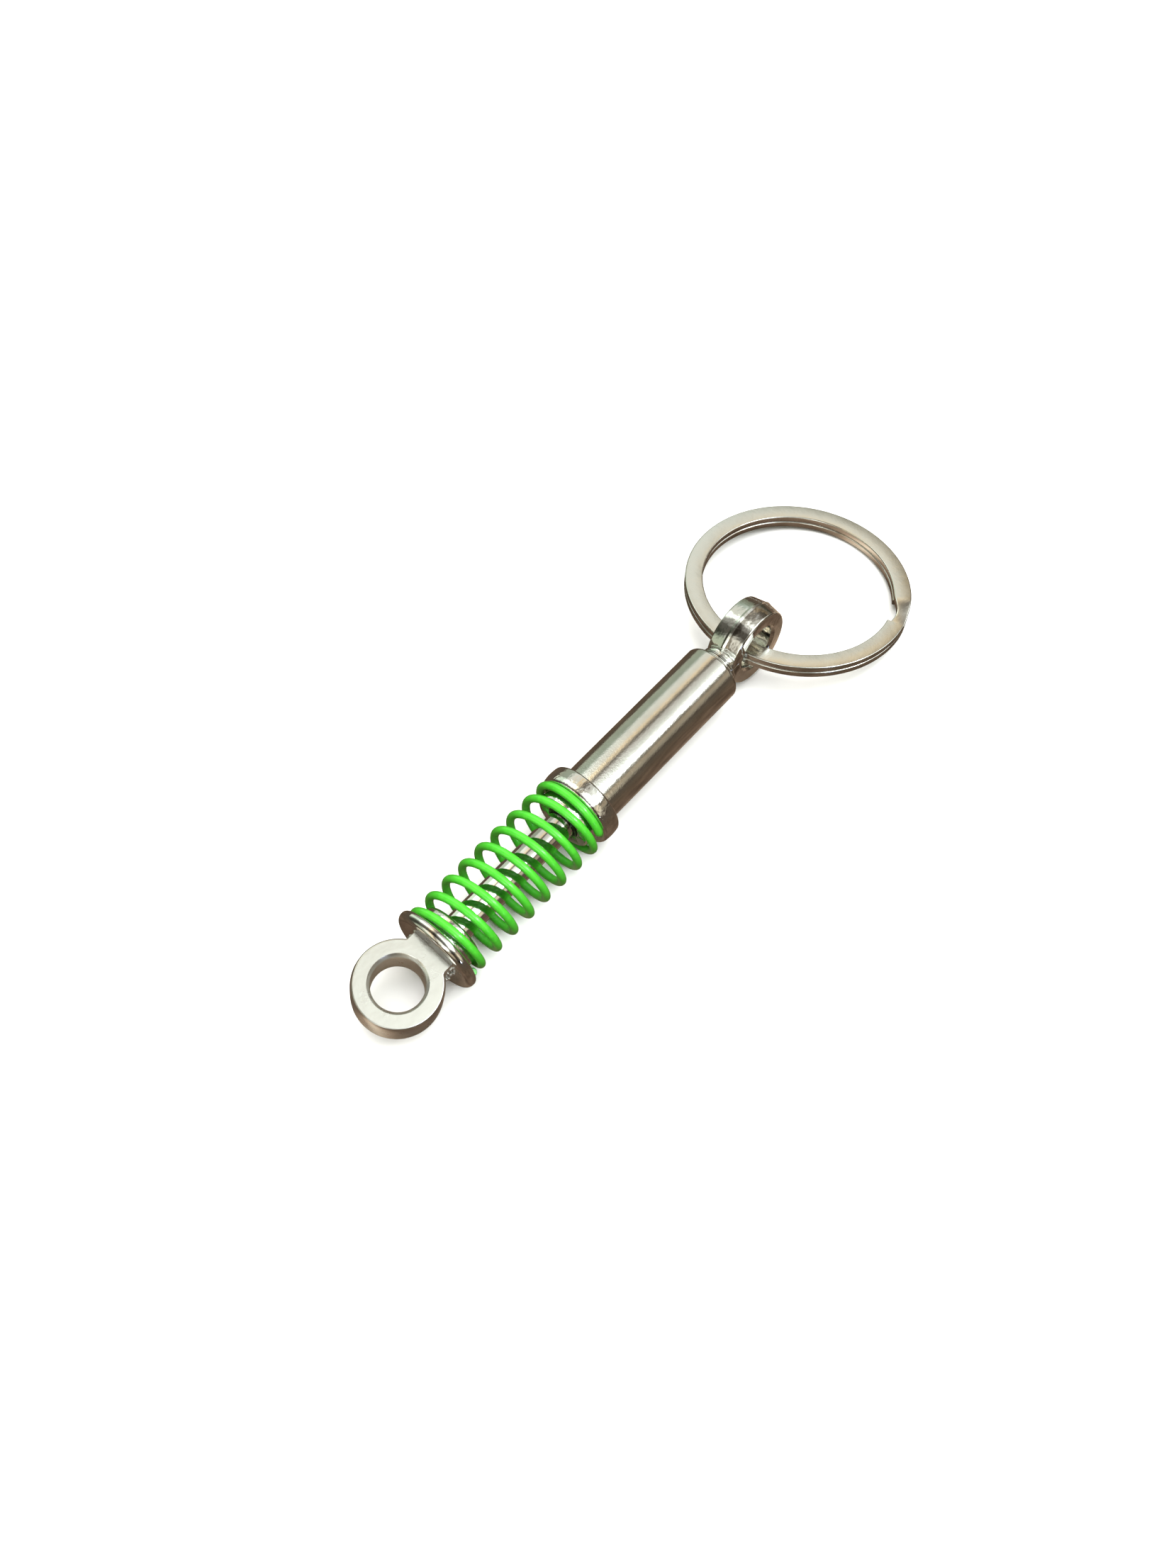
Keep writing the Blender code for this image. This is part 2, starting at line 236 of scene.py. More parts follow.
def add_floor():
    """A plain pale floor to the camera; other rays meet a brown table, a painted reflection in the
    chrome and a painted darker bounce on the shock. The brown is painted lighter by the shock.
    """
    mesh = bpy.data.meshes.new("floor")
    bm = bmesh.new()
    bmesh.ops.create_grid(bm, x_segments=1, y_segments=1, size=3.0)
    bm.to_mesh(mesh)
    bm.free()
    floor = bpy.data.objects.new("floor", mesh)
    bpy.context.collection.objects.link(floor)
    made, nodes, links, output = new_material("floor")
    pale = nodes.new("ShaderNodeBsdfDiffuse")
    pale.inputs["Color"].default_value = (0.95, 0.95, 0.945, 1)
    table = nodes.new("ShaderNodeBsdfDiffuse")
    grain = nodes.new("ShaderNodeTexNoise")
    grain.inputs["Scale"].default_value = 260.0
    grain.inputs["Detail"].default_value = 6.0
    place = nodes.new("ShaderNodeTexCoord")
    links.new(place.outputs["Object"], grain.inputs["Vector"])
    weave = spread(nodes, links, grain.outputs["Fac"], 0.35, 0.65, 0.7, 1.3)
    split = nodes.new("ShaderNodeSeparateXYZ")
    links.new(place.outputs["Object"], split.inputs["Vector"])
    aside = calculate(nodes, links, "SUBTRACT", split.outputs["Y"], AXIS_Y)
    apart = calculate(nodes, links, "ABSOLUTE", aside)
    # painted reflection: the brown is painted lighter within a few millimetres of the shock's axis, so
    # reflections brighten towards the chrome's edges and the contact shadow there is countered
    painted_reflection_brown = strip_ramp(nodes, links, apart, 0.0, 0.05, [
        (0.0, (0.40, 0.33, 0.26)), (0.0025, (0.20, 0.145, 0.105)), (0.006, (0.065, 0.043, 0.030)),
        (0.018, (0.050, 0.035, 0.024)), (0.05, (0.045, 0.035, 0.026))])
    shade = nodes.new("ShaderNodeVectorMath")
    shade.operation = "SCALE"
    links.new(painted_reflection_brown.outputs["Color"], shade.inputs[0])
    links.new(weave, shade.inputs["Scale"])
    links.new(shade.outputs["Vector"], table.inputs["Color"])
    both = for_the_camera(nodes, links, pale.outputs["BSDF"], table.outputs["BSDF"])
    links.new(both, output.inputs["Surface"])
    mesh.materials.append(made)


def add_world():
    """A studio of soft strips along the shock, whose brightness also changes along it."""
    world = bpy.data.worlds.new("studio")
    world.use_nodes = True
    bpy.context.scene.world = world
    nodes, links = world.node_tree.nodes, world.node_tree.links
    background = nodes["Background"]
    place = nodes.new("ShaderNodeTexCoord")
    split = nodes.new("ShaderNodeSeparateXYZ")
    links.new(place.outputs["Generated"], split.inputs["Vector"])
    flip = calculate(nodes, links, "MULTIPLY", split.outputs["Y"], -1.0)
    turn = calculate(nodes, links, "ARCTAN2", flip, split.outputs["Z"])
    degrees = calculate(nodes, links, "DEGREES", turn)
    # degrees from overhead, with plus towards -Y
    across = [
        (-90, (0.40, 0.38, 0.28)), (-86, (0.33, 0.36, 0.27)), (-58, (0.31, 0.35, 0.27)),
        (-48, (0.72, 0.73, 0.64)), (-28, (0.72, 0.68, 0.57)), (-19, (0.82, 0.66, 0.42)),
        (-12, (0.46, 0.38, 0.28)), (-7, (0.16, 0.14, 0.11)), (-2, (0.18, 0.16, 0.13)),
        (3, (0.52, 0.49, 0.43)), (20, (0.72, 0.73, 0.65)), (30, (0.98, 1.0, 0.92)),
        (36, (1.7, 1.75, 1.65)), (41, (3.6, 3.7, 3.6)), (46, (1.7, 1.75, 1.65)),
        (51, (0.62, 0.60, 0.52)), (57, (0.14, 0.12, 0.09)), (65, (0.36, 0.29, 0.20)),
        (78, (0.30, 0.26, 0.19)), (86, (0.10, 0.08, 0.06)), (90, (0.06, 0.045, 0.035)),
    ]
    # share of the brightness, by the direction's slope along the shock
    along = [
        (-1.0, (0.20, 0.17, 0.14)), (-0.92, (1.3, 1.3, 1.25)), (-0.72, (1.5, 1.5, 1.45)),
        (-0.60, (0.40, 0.40, 0.38)), (-0.52, (0.14, 0.13, 0.12)), (-0.28, (0.16, 0.15, 0.14)),
        (-0.06, (0.6, 0.6, 0.6)),
        (0.06, (2.35, 2.5, 2.6)), (0.21, (2.35, 2.5, 2.6)), (0.31, (1.0, 1.0, 1.0)),
        (0.60, (1.0, 1.0, 1.0)), (0.66, (1.15, 1.19, 1.25)), (0.72, (1.12, 1.16, 1.22)),
        (0.80, (0.70, 0.69, 0.67)), (0.86, (0.45, 0.43, 0.40)), (1.0, (0.16, 0.14, 0.12)),
    ]
    first = strip_ramp(nodes, links, degrees, -90, 90, across)
    second = strip_ramp(nodes, links, split.outputs["X"], -1, 1, along)
    product = nodes.new("ShaderNodeVectorMath")
    product.operation = "MULTIPLY"
    links.new(first.outputs["Color"], product.inputs[0])
    links.new(second.outputs["Color"], product.inputs[1])
    links.new(product.outputs["Vector"], background.inputs["Color"])
    background.inputs["Strength"].default_value = 1.0
    # beyond the floor's edge the camera sees a plain pale backdrop
    backdrop = nodes.new("ShaderNodeBackground")
    backdrop.inputs["Color"].default_value = (0.93, 0.93, 0.925, 1)
    both = for_the_camera(nodes, links, backdrop.outputs["Background"],
                          background.outputs["Background"])
    links.new(both, nodes["World Output"].inputs["Surface"])


def add_lamp(name, size, power, place, aim, colour=(1, 1, 1), glossy=True):
    """A soft area lamp that looks at a point."""
    data = bpy.data.lights.new(name, "AREA")
    data.shape = "SQUARE"
    data.size = size
    data.energy = power
    data.color = colour
    lamp = bpy.data.objects.new(name, data)
    lamp.location = place
    lamp.rotation_euler = (Vector(aim) - Vector(place)).to_track_quat("-Z", "Y").to_euler()
    lamp.visible_glossy = glossy
    lamp.visible_camera = False
    bpy.context.collection.objects.link(lamp)


# ---------------------------------------------------------------- finishes

def bumped(nodes, links, place, height_scale, depth, stretch=(1, 1, 1), detail=3.0):
    """A noise relief in the piece's own coordinates; scale per metre and depth in metres."""
    mapping = nodes.new("ShaderNodeMapping")
    mapping.inputs["Scale"].default_value = stretch
    links.new(place.outputs["Object"], mapping.inputs["Vector"])
    noise = nodes.new("ShaderNodeTexNoise")
    noise.inputs["Scale"].default_value = height_scale
    noise.inputs["Detail"].default_value = detail
    links.new(mapping.outputs["Vector"], noise.inputs["Vector"])
    bump = nodes.new("ShaderNodeBump")
    bump.inputs["Distance"].default_value = depth
    bump.inputs["Strength"].default_value = 1.0
    links.new(noise.outputs["Fac"], bump.inputs["Height"])
    return noise, bump


def plated(name, light, dark, smooth, rough, reliefs, zones=None):
    """Bright plated metal: tone and roughness wander, and reliefs stack from coarse to fine.

    Zones are (station, added roughness, relief strength) stops along the shock.
    """
    made, nodes, links, output = new_material(name)
    shader = nodes.new("ShaderNodeBsdfPrincipled")
    shader.inputs["Metallic"].default_value = 1.0
    place = nodes.new("ShaderNodeTexCoord")
    cloud = nodes.new("ShaderNodeTexNoise")
    cloud.inputs["Scale"].default_value = 420.0
    cloud.inputs["Detail"].default_value = 5.0
    links.new(place.outputs["Object"], cloud.inputs["Vector"])
    tone = ramp(nodes, [(0.35, dark), (0.65, light)])
    links.new(cloud.outputs["Fac"], tone.inputs["Fac"])
    links.new(tone.outputs["Color"], shader.inputs["Base Color"])
    roughness = spread(nodes, links, cloud.outputs["Fac"], 0.35, 0.7, smooth, rough)
    strength = None
    if zones:
        split = nodes.new("ShaderNodeSeparateXYZ")
        links.new(place.outputs["Object"], split.inputs["Vector"])
        low, high = START_X - 6 * MM, START_X + 10 * MM
        stops = [(START_X + station * MM, (added, share, 0.0)) for station, added, share in zones]
        zone = strip_ramp(nodes, links, split.outputs["X"], low, high, stops)
        parts = nodes.new("ShaderNodeSeparateColor")
        links.new(zone.outputs["Color"], parts.inputs["Color"])
        roughness = calculate(nodes, links, "ADD", roughness, parts.outputs["Red"])
        strength = parts.outputs["Green"]
    links.new(roughness, shader.inputs["Roughness"])
    last = None
    for scale, depth, stretch in reliefs:
        _, bump = bumped(nodes, links, place, scale, depth, stretch)
        if strength is not None:
            links.new(strength, bump.inputs["Strength"])
        if last is not None:
            links.new(last.outputs["Normal"], bump.inputs["Normal"])
        last = bump
    links.new(last.outputs["Normal"], shader.inputs["Normal"])
    links.new(shader.outputs["BSDF"], output.inputs["Surface"])
    return made


def coated_green():
    """Glossy powder coat with a faint orange peel and slightly deeper patches."""
    made, nodes, links, output = new_material("green_coating")
    shader = nodes.new("ShaderNodeBsdfPrincipled")
    shader.inputs["Metallic"].default_value = 0.0
    shader.inputs["Coat Weight"].default_value = 0.8
    shader.inputs["Coat Roughness"].default_value = 0.10
    place = nodes.new("ShaderNodeTexCoord")
    cloud, peel = bumped(nodes, links, place, 1300.0, 0.000012, detail=2.0)
    tone = ramp(nodes, [(0.3, (0.055, 0.50, 0.025)), (0.7, (0.078, 0.58, 0.034))])
    links.new(cloud.outputs["Fac"], tone.inputs["Fac"])
    links.new(tone.outputs["Color"], shader.inputs["Base Color"])
    roughness = spread(nodes, links, cloud.outputs["Fac"], 0.0, 1.0, 0.28, 0.40)
    links.new(roughness, shader.inputs["Roughness"])
    links.new(peel.outputs["Normal"], shader.inputs["Normal"])
    links.new(shader.outputs["BSDF"], output.inputs["Surface"])
    return made


def black_plastic():
    """Moulded black bush, semi-gloss with fine grain."""
    made, nodes, links, output = new_material("black_bush")
    shader = nodes.new("ShaderNodeBsdfPrincipled")
    place = nodes.new("ShaderNodeTexCoord")
    cloud, grain = bumped(nodes, links, place, 5000.0, 0.000006)
    tone = ramp(nodes, [(0.3, (0.010, 0.010, 0.009)), (0.7, (0.022, 0.021, 0.019))])
    links.new(cloud.outputs["Fac"], tone.inputs["Fac"])
    links.new(tone.outputs["Color"], shader.inputs["Base Color"])
    shader.inputs["Roughness"].default_value = 0.24
    links.new(grain.outputs["Normal"], shader.inputs["Normal"])
    links.new(shader.outputs["BSDF"], output.inputs["Surface"])
    return made


# ---------------------------------------------------------------- shapes

def filleted(corners, closed=False, steps=8):
    """Round the corners of an (x, y, radius) outline; a radius of 0 keeps the corner."""
    points = []
    count = len(corners)
    for k, (x, y, radius) in enumerate(corners):
        here = Vector((x, y))
        if radius <= 0 or (not closed and k in (0, count - 1)):
            points.append(here)
            continue
        before = Vector(corners[k - 1][:2]) - here
        after = Vector(corners[(k + 1) % count][:2]) - here
        half = before.angle(after) / 2
        reach = radius / math.tan(half)
        start = here + before.normalized() * reach
        end = here + after.normalized() * reach
        centre = here + (before.normalized() + after.normalized()).normalized() * radius / math.sin(half)
        from_centre = start - centre
        swing = from_centre.angle_signed(end - centre)
        for step in range(steps + 1):
            points.append(centre + Matrix.Rotation(-swing * step / steps, 2) @ from_centre)
    return [tuple(point) for point in points]


def add_piece(name, bm, finish, body, node, place=TO_SHOCK, sharp=40.0):
    """Turn a bmesh in mm into a finished piece on a CAD body, in place of a CAD node."""
    bmesh.ops.recalc_face_normals(bm, faces=bm.faces)
    mesh = bpy.data.meshes.new(name)
    bm.to_mesh(mesh)
    bm.free()
    mesh.transform(place)
    mesh.materials.append(finish)
    mesh.shade_smooth()
    mesh.set_sharp_from_angle(angle=math.radians(sharp))
    piece = bpy.data.objects.new(name, mesh)
    bpy.context.collection.objects.link(piece)
    if body:
        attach(piece, body)
        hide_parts(node)
    return piece


def turned(profile, steps=128, axis="X"):
    """Turn a closed profile of (along, radius) points about X or Y; radius 0 is a pole."""
    bm = bmesh.new()
    rows = []
    for along, radius in profile:
        row = []
        for step in range(1 if radius < 1e-9 else steps):
            angle = 2 * math.pi * step / steps
            across = (radius * math.cos(angle), radius * math.sin(angle))
            if axis == "X":
                row.append(bm.verts.new((along, across[0], across[1])))
            else:
                row.append(bm.verts.new((across[0], along, across[1])))
        rows.append(row)
    for first, second in zip(rows, rows[1:] + rows[:1]):
        for step in range(steps):
            ring = [first[step % len(first)], first[(step + 1) % len(first)]]
            ring += [second[(step + 1) % len(second)], second[step % len(second)]]
            corners = list(dict.fromkeys(ring))
            if len(corners) > 2:
                bm.faces.new(corners)
    return bm


def swept(path, radials, ups, sections):
    """Sweep closed sections of (radial, up) points along a path, with flat ends."""
    bm = bmesh.new()
    rings = []
    for place, radial, up, section in zip(path, radials, ups, sections):
        rings.append([bm.verts.new(place + radial * a + up * b) for a, b in section])
    for first, second in zip(rings, rings[1:]):
        for k in range(len(first)):
            after = (k + 1) % len(first)
            bm.faces.new((first[k], first[after], second[after], second[k]))
    bm.faces.new(rings[0])
    bm.faces.new(rings[-1])
    return bm


def plate_outline(around=120):
    """Outline of the lower eye, flowing through small fillets into its web."""
    rho = WEB_FILLET
    reach = math.sqrt((LOWER_EYE_R + rho) ** 2 - (LOWER_NECK_HALF + rho) ** 2)
    meeting = math.atan2(LOWER_NECK_HALF + rho, reach)
    half = []
    for step in range(around + 1):
        angle = math.pi - (math.pi - meeting) * step / around
        half.append((LOWER_EYE_R * math.cos(angle), LOWER_EYE_R * math.sin(angle)))
    turn = math.pi / 2 - meeting
    for step in range(1, 9):
        angle = math.pi + meeting + turn * step / 8
        half.append((reach + rho * math.cos(angle), LOWER_NECK_HALF + rho + rho * math.sin(angle)))
    web_end = FLANGE_FOOT + WEB_OVERLAP
    half += [(web_end - 0.3, LOWER_NECK_HALF), (web_end, LOWER_NECK_HALF)]
    half += [(web_end, LOWER_NECK_HALF * (1 - k / 6)) for k in range(1, 7)]
    return half + [(x, -y) for x, y in half[-2:0:-1]]


def eye_plate(outline, levels):
    """A holed plate from levels of (z, outer inset, bore radius)."""
    bm = bmesh.new()
    outer_rows = []
    inner_rows = []
    for z, inset, bore in levels:
        outer = []
        inner = []
        for x, y in outline:
            reach = math.hypot(x, y)
            outer.append(bm.verts.new((x * (1 - inset / reach), y * (1 - inset / reach), z)))
            inner.append(bm.verts.new((x * bore / reach, y * bore / reach, z)))
        outer_rows.append(outer)
        inner_rows.append(inner)
    strips = list(zip(outer_rows, outer_rows[1:])) + list(zip(inner_rows, inner_rows[1:]))
    strips += [(outer_rows[0], inner_rows[0]), (outer_rows[-1], inner_rows[-1])]
    for first, second in strips:
        for k in range(len(first)):
            after = (k + 1) % len(first)
            bm.faces.new((first[k], first[after], second[after], second[k]))
    return bm


def plate_levels(half, rim_profile, bore_profile):
    """Levels from -half to half, whose rim and bore follow (depth, size) points from the faces."""
    depths = sorted({depth for depth, _ in rim_profile} | {depth for depth, _ in bore_profile})

    def read(table, depth):
        for (d0, v0), (d1, v1) in zip(table, table[1:]):
            if d0 <= depth <= d1:
                return v0 + (v1 - v0) * (depth - d0) / (d1 - d0)
        return table[-1][1]

    upper = [(half, rim_profile[0][1] + FLAT_MARGIN, bore_profile[0][1] + FLAT_MARGIN)]
    upper += [(half - depth, read(rim_profile, depth), read(bore_profile, depth))
              for depth in depths]
    return [(-z, inset, bore) for z, inset, bore in upper] + upper[::-1]


def settle(piece, sharp=35.0):
    """Apply the piece's modifiers, then shade its curves smooth and its flats flat."""
    depsgraph = bpy.context.evaluated_depsgraph_get()
    mesh = bpy.data.meshes.new_from_object(piece.evaluated_get(depsgraph))
    piece.modifiers.clear()
    old = piece.data
    piece.data = mesh
    bpy.data.meshes.remove(old)
    mesh.shade_smooth()
    mesh.set_sharp_from_angle(angle=math.radians(sharp))
    weigh = piece.modifiers.new("weigh", "WEIGHTED_NORMAL")
    weigh.keep_sharp = True
    weigh.weight = 80


# ---------------------------------------------------------------- pieces

def lower_mount(finish):
    """Casting: the eye and its web, the round-edged flange and the boss, with cast beads."""
    socket_r, socket_foot = ROD_STUD_R + GAP, STUD_FOOT - GAP
    profile = filleted([
        (FLANGE_FOOT, 0.0, 0), (FLANGE_FOOT, FLANGE_R, 0.88), (FLANGE_TOP, FLANGE_R, 0.45),
        (FLANGE_TOP, LOWER_BOSS_R, 0.15), (LOWER_BOSS_TOP, LOWER_BOSS_R, 0.45),
        (LOWER_BOSS_TOP, socket_r, 0.1), (socket_foot, socket_r, 0), (socket_foot, 0.0, 0)],
        steps=10)
    mount = add_piece("lower_mount_cast", turned(profile, steps=160), finish, None, None)
    mouth = LOWER_EYE_BORE_R + LOWER_EYE_CHAMFER
    bore_profile = [(0.0, mouth), (0.04, mouth - 0.05), (0.09, mouth - 0.10),
                    (0.36, mouth - 0.35), (0.44, LOWER_EYE_BORE_R)]
    rim_profile = [(0.0, 0.28), (0.02, 0.23), (0.07, 0.19), (0.20, 0.13), (0.40, 0.075),
                   (0.75, 0.02), (1.30, 0.0)]
    levels = plate_levels(LOWER_EYE_HALF, rim_profile, bore_profile)
    turn = Matrix.Rotation(math.radians(LOWER_EYE_ROLL), 4, "X")
    eye = add_piece("lower_eye_blank", eye_plate(plate_outline(), levels), finish, None, None,
                    place=TO_SHOCK @ turn)
    beads = bmesh.new()
    rng = random.Random(7)
    for side in (-1, 1):
        for _ in range(6):
            spot = Vector((rng.uniform(4.95, 5.50), side * rng.uniform(2.95, 3.25),
                           rng.uniform(-1.8, 2.0)))
            bmesh.ops.create_icosphere(beads, subdivisions=3, radius=rng.uniform(0.18, 0.32),
                                       matrix=Matrix.Translation(turn @ spot))
    spots = add_piece("cast_beads", beads, finish, None, None)
    for tool in (eye, spots):
        union = mount.modifiers.new(tool.name, "BOOLEAN")
        union.operation = "UNION"
        union.solver = "EXACT"
        union.use_self = tool is spots
        union.object = tool
    settle(mount)
    for tool in (eye, spots):
        bpy.data.objects.remove(tool)
    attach(mount, "rod")
    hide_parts("lower_mount")


def piston_rod(finish):
    profile = filleted([
        (STUD_FOOT, 0.0, 0), (STUD_FOOT, ROD_STUD_R, 0.1), (LOWER_BOSS_TOP + GAP, ROD_STUD_R, 0),
        (LOWER_BOSS_TOP + GAP, ROD_R, 0.08), (ROD_TOP, ROD_R, 0.08), (ROD_TOP, ROD_STUD_R, 0),
        (ROD_STUD_TOP, ROD_STUD_R, 0.2), (ROD_STUD_TOP, 0.0, 0)])
    add_piece("piston_rod_polished", turned(profile), finish, "rod", "piston_rod")


def rod_guide_bush(finish):
    bore = ROD_R + GAP
    profile = filleted([
        (BUSH_NOSE, bore, 0.08), (BUSH_NOSE, BUSH_R, 0.14),
        (BUSH_FLANGE_FOOT, BUSH_R, 0), (BUSH_FLANGE_FOOT, BUSH_FLANGE_R, 0.05),
        (BUSH_TOP, BUSH_FLANGE_R, 0.1), (BUSH_TOP, bore, 0.1)], closed=True)
    add_piece("rod_guide_bush_moulded", turned(profile), finish, "barrel", "rod_guide_bush")


def upper_spring_seat(finish):
    """Collar with a generously rounded rim and a boss inside the spring."""
    bore = BUSH_R + GAP
    socket = BARREL_R + GAP
    profile = filleted([
        (UPPER_BOSS_FOOT + 0.12, bore, 0.08), (UPPER_BOSS_FOOT, UPPER_BOSS_R, 0.40),
        (SEAT_FACE, UPPER_BOSS_R, 0.2), (SEAT_FACE, SEAT_R - 0.16, 0.5),
        ((SEAT_FACE + SEAT_TOP) / 2, SEAT_R + 0.02, 6.0), (SEAT_TOP, SEAT_R - 0.14, 0.42),
        (SEAT_TOP, socket, 0.08), (SEAT_SOCKET_FOOT, socket, 0),
        (SEAT_SOCKET_FOOT, bore, 0.05)], closed=True)
    add_piece("upper_spring_seat_turned", turned(profile, steps=160), finish, "barrel",
              "upper_spring_seat")


def barrel_tube(finish):
    profile = filleted([
        (BARREL_FOOT, BARREL_BORE_R, 0.08), (BARREL_FOOT, BARREL_R, 0.1),
        (BARREL_TOP, BARREL_R, BARREL_SHOULDER), (BARREL_TOP, BARREL_BORE_R, 0.05)],
        closed=True, steps=10)
    add_piece("barrel_tube_drawn", turned(profile, steps=160), finish, "barrel", "barrel_tube")


def upper_eye(finish):
    """Crowned eye with a parting ridge, on a neck of two small steps and a spigot."""
    half = UPPER_EYE_HALF
    bore = UPPER_EYE_BORE_R
    edge, ridge, mouth = UPPER_EYE_R - 0.02, 0.28, 0.34
    outline = filleted([
        (-half, bore + mouth, 0.08), (-half, edge, 0.28), (-ridge, UPPER_EYE_CROWN_R - 0.10, 0.3),
        (0.0, UPPER_EYE_CROWN_R, 0.05), (ridge, UPPER_EYE_CROWN_R - 0.10, 0.3),
        (half, edge, 0.28), (half, bore + mouth, 0.08),
        (half - mouth, bore, 0.12), (mouth - half, bore, 0.12)], closed=True, steps=5)
    place = TO_SHOCK @ Matrix.Translation((UPPER_EYE_STATION, 0, 0))
    eye = add_piece("upper_eye_cast", turned(outline, steps=144, axis="Y"), finish, None, None,
                    place=place)
    spigot = BARREL_BORE_R - GAP
    neck = filleted([
        (SPIGOT_FOOT, 0.0, 0), (SPIGOT_FOOT, spigot, 0.2), (BARREL_TOP + 0.02, spigot, 0.06),
        (BARREL_TOP + 0.10, 2.95, 0.08), (BARREL_TOP + 0.40, UPPER_NECK_R, 0.12),
        (BARREL_TOP + 0.58, UPPER_NECK_R + 0.12, 0.07), (BARREL_TOP + 0.80, UPPER_NECK_R - 0.02, 0.10),
        (BARREL_TOP + 2.25, UPPER_NECK_R - 0.30, 0.2), (BARREL_TOP + 2.35, 0.0, 0)], steps=5)
    stem = add_piece("upper_neck_blank", turned(neck, steps=144), finish, None, None)
    union = eye.modifiers.new("neck", "BOOLEAN")
    union.operation = "UNION"
    union.solver = "EXACT"
    union.object = stem
    settle(eye)
    bpy.data.objects.remove(stem)
    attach(eye, "barrel")
    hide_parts("upper_eye")


def climb(turn):
    """How many pitches the wire has climbed at a turn, with both ends closed."""
    def bend(from_turn):
        return COIL_SOFTNESS * math.log1p(math.exp((turn - from_turn) / COIL_SOFTNESS))
    return bend(COIL_FIRST) - bend(COIL_FIRST + COIL_ACTIVE)


def coil_spring(finish):
    """Round wire wound right-handed, its cut ends softened by the coating."""
    first = -COIL_TAIL
    last = COIL_FIRST + COIL_ACTIVE + COIL_HEAD
    count = round((last - first) * 72)
    turns = [first + (last - first) * step / count for step in range(count + 1)]
    circle = [2 * math.pi * side / 24 for side in range(24)]
    path, radials, sizes = [], [], []
    for turn in turns:
        angle = 2 * math.pi * turn
        radials.append(Vector((0.0, math.cos(angle), math.sin(angle))))
        path.append(radials[-1] * COIL_R + Vector((COIL_FOOT + COIL_PITCH * climb(turn), 0, 0)))
        sizes.append(WIRE_R)
    ups = []
    for step, radial in enumerate(radials):
        tangent = path[min(step + 1, count)] - path[max(step - 1, 0)]
        ups.append(tangent.cross(radial).normalized())
    for end, inner in ((0, 1), (-1, -2)):
        outward = (path[end] - path[inner]).normalized()
        for step in range(1, 5):
            angle = math.pi / 2 * step / 4
            spot = path[end] + outward * WIRE_END_SOFT * math.sin(angle)
            size = WIRE_R - WIRE_END_SOFT * (1 - math.cos(angle))
            if end == 0:
                path.insert(0, spot), radials.insert(0, radials[0])
                ups.insert(0, ups[0]), sizes.insert(0, size)
            else:
                path.append(spot), radials.append(radials[-1])
                ups.append(ups[-1]), sizes.append(size)
    sections = [[(size * math.cos(a), size * math.sin(a)) for a in circle] for size in sizes]
    spring = add_piece("coil_spring_wire", swept(path, radials, ups, sections), finish, "barrel",
                       "coil_spring", sharp=60)
    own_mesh(spring)


def key_ring(finish):
    """Split ring: two turns of flat wire, with a pinched joggle below the free end."""
    half_thick = RING_TURN_THICK / 2
    lift = (RING_THICK - RING_TURN_THICK) / 2
    wide = RING_R - RING_HOLE_R
    length = 720.0 - RING_JOGGLE - RING_END_GAP
    count = 400
    path, radials, sections = [], [], []
    middle = 360.0 - RING_JOGGLE / 2
    for step in range(count + 1):
        run = length * step / count
        angle = math.radians(RING_END - run)
        share = min(max((run - (360.0 - RING_JOGGLE)) / (RING_JOGGLE - RING_END_GAP), 0.0), 1.0)
        height = lift * math.cos(math.pi * share)
        pinch = math.exp(-((run - middle) / 7.5) ** 2)
        half_wide = wide / 2 * (1 - RING_PINCH * pinch)
        radials.append(Vector((math.cos(angle), math.sin(angle), 0.0)))
        path.append(radials[-1] * (RING_R - half_wide - 0.1 * pinch) + Vector((0, 0, height)))
        sections.append(filleted([
            (half_wide, half_thick, RING_WIRE_EDGE), (-half_wide, half_thick, RING_WIRE_EDGE),
            (-half_wide, -half_thick, RING_WIRE_EDGE), (half_wide, -half_thick, RING_WIRE_EDGE)],
            closed=True, steps=5))
    ups = [Vector((0, 0, 1))] * len(path)
    add_piece("key_ring_wire", swept(path, radials, ups, sections), finish, "ring", "key_ring",
              place=TO_RING, sharp=50)


# ---------------------------------------------------------------- the scene

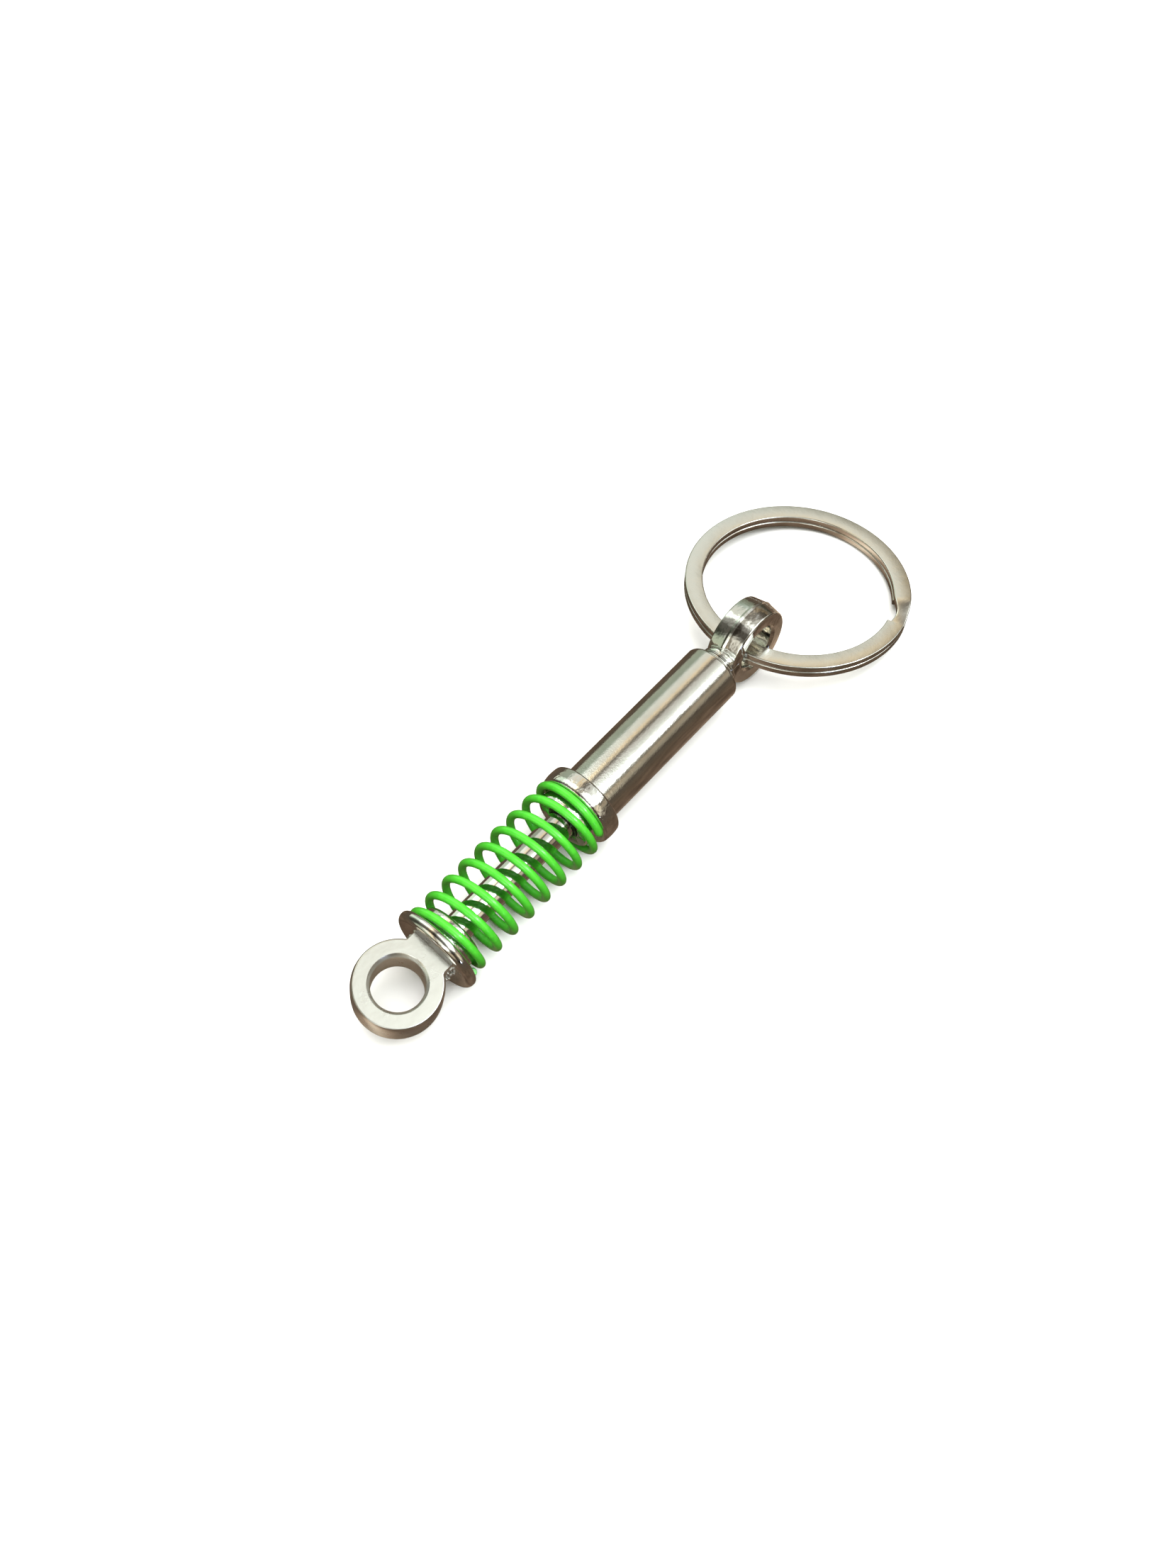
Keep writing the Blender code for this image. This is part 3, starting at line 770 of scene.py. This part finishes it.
bpy.context.scene.view_settings.view_transform = "Standard"
add_camera()
add_floor()
add_world()
centre = Vector((0.0, 0.0, AXIS_Z))
add_lamp("overhead_soft", 0.9, 15.0, (0.05, -0.10, 0.9), centre, glossy=False)
add_lamp("window", 0.08, 0.40, (0.237, -0.36, 0.41), centre)
add_lamp("blue_lamp", 0.05, 0.06, (-0.13, -0.48, 0.045), centre, colour=(0.72, 0.80, 1.0))

EVEN = (1, 1, 1)
BRIGHT = (0.96, 0.96, 0.93)
DULLER = (0.87, 0.87, 0.84)
casting = plated("plated_casting", BRIGHT, DULLER, 0.07, 0.14,
                 [(900.0, 0.000060, EVEN), (3000.0, 0.000024, EVEN)],
                 zones=[(5.50, 0.20, 0.30), (5.58, 0.0, 0.30), (7.00, 0.0, 0.30), (7.10, 0.0, 1.0)])
collar = plated("plated_collar", BRIGHT, DULLER, 0.05, 0.11,
                [(450.0, 0.000200, EVEN), (1500.0, 0.000020, EVEN), (6000.0, 0.000002, EVEN)])
barrel = plated("plated_barrel", BRIGHT, DULLER, 0.05, 0.11,
                [(400.0, 0.000018, (0.5, 1, 1)), (3200.0, 0.000010, EVEN),
                 (7500.0, 0.000008, EVEN)])
eye_plating = plated("plated_eye", BRIGHT, DULLER, 0.06, 0.13,
                     [(420.0, 0.000130, EVEN), (2600.0, 0.000005, EVEN)])
polished = plated("polished_rod", BRIGHT, DULLER, 0.03, 0.06,
                  [(500.0, 0.000020, (0.3, 1, 1)), (3200.0, 0.000014, (0.04, 1, 1))])
nickel = plated("nickel_ring", (0.93, 0.93, 0.90), (0.84, 0.84, 0.80), 0.15, 0.26,
                [(500.0, 0.000030, EVEN), (3500.0, 0.000005, EVEN)])
steel = plated("turned_steel", (0.55, 0.55, 0.54), (0.42, 0.42, 0.41), 0.25, 0.4,
               [(900.0, 0.000004, (6, 1, 1))])

lower_mount(casting)
piston_rod(polished)
rod_guide_bush(black_plastic())
upper_spring_seat(collar)
barrel_tube(barrel)
upper_eye(eye_plating)
coil_spring(coated_green())
key_ring(nickel)
for node in ("piston", "piston_nut"):
    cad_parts[node].material_slots[0].material = steel
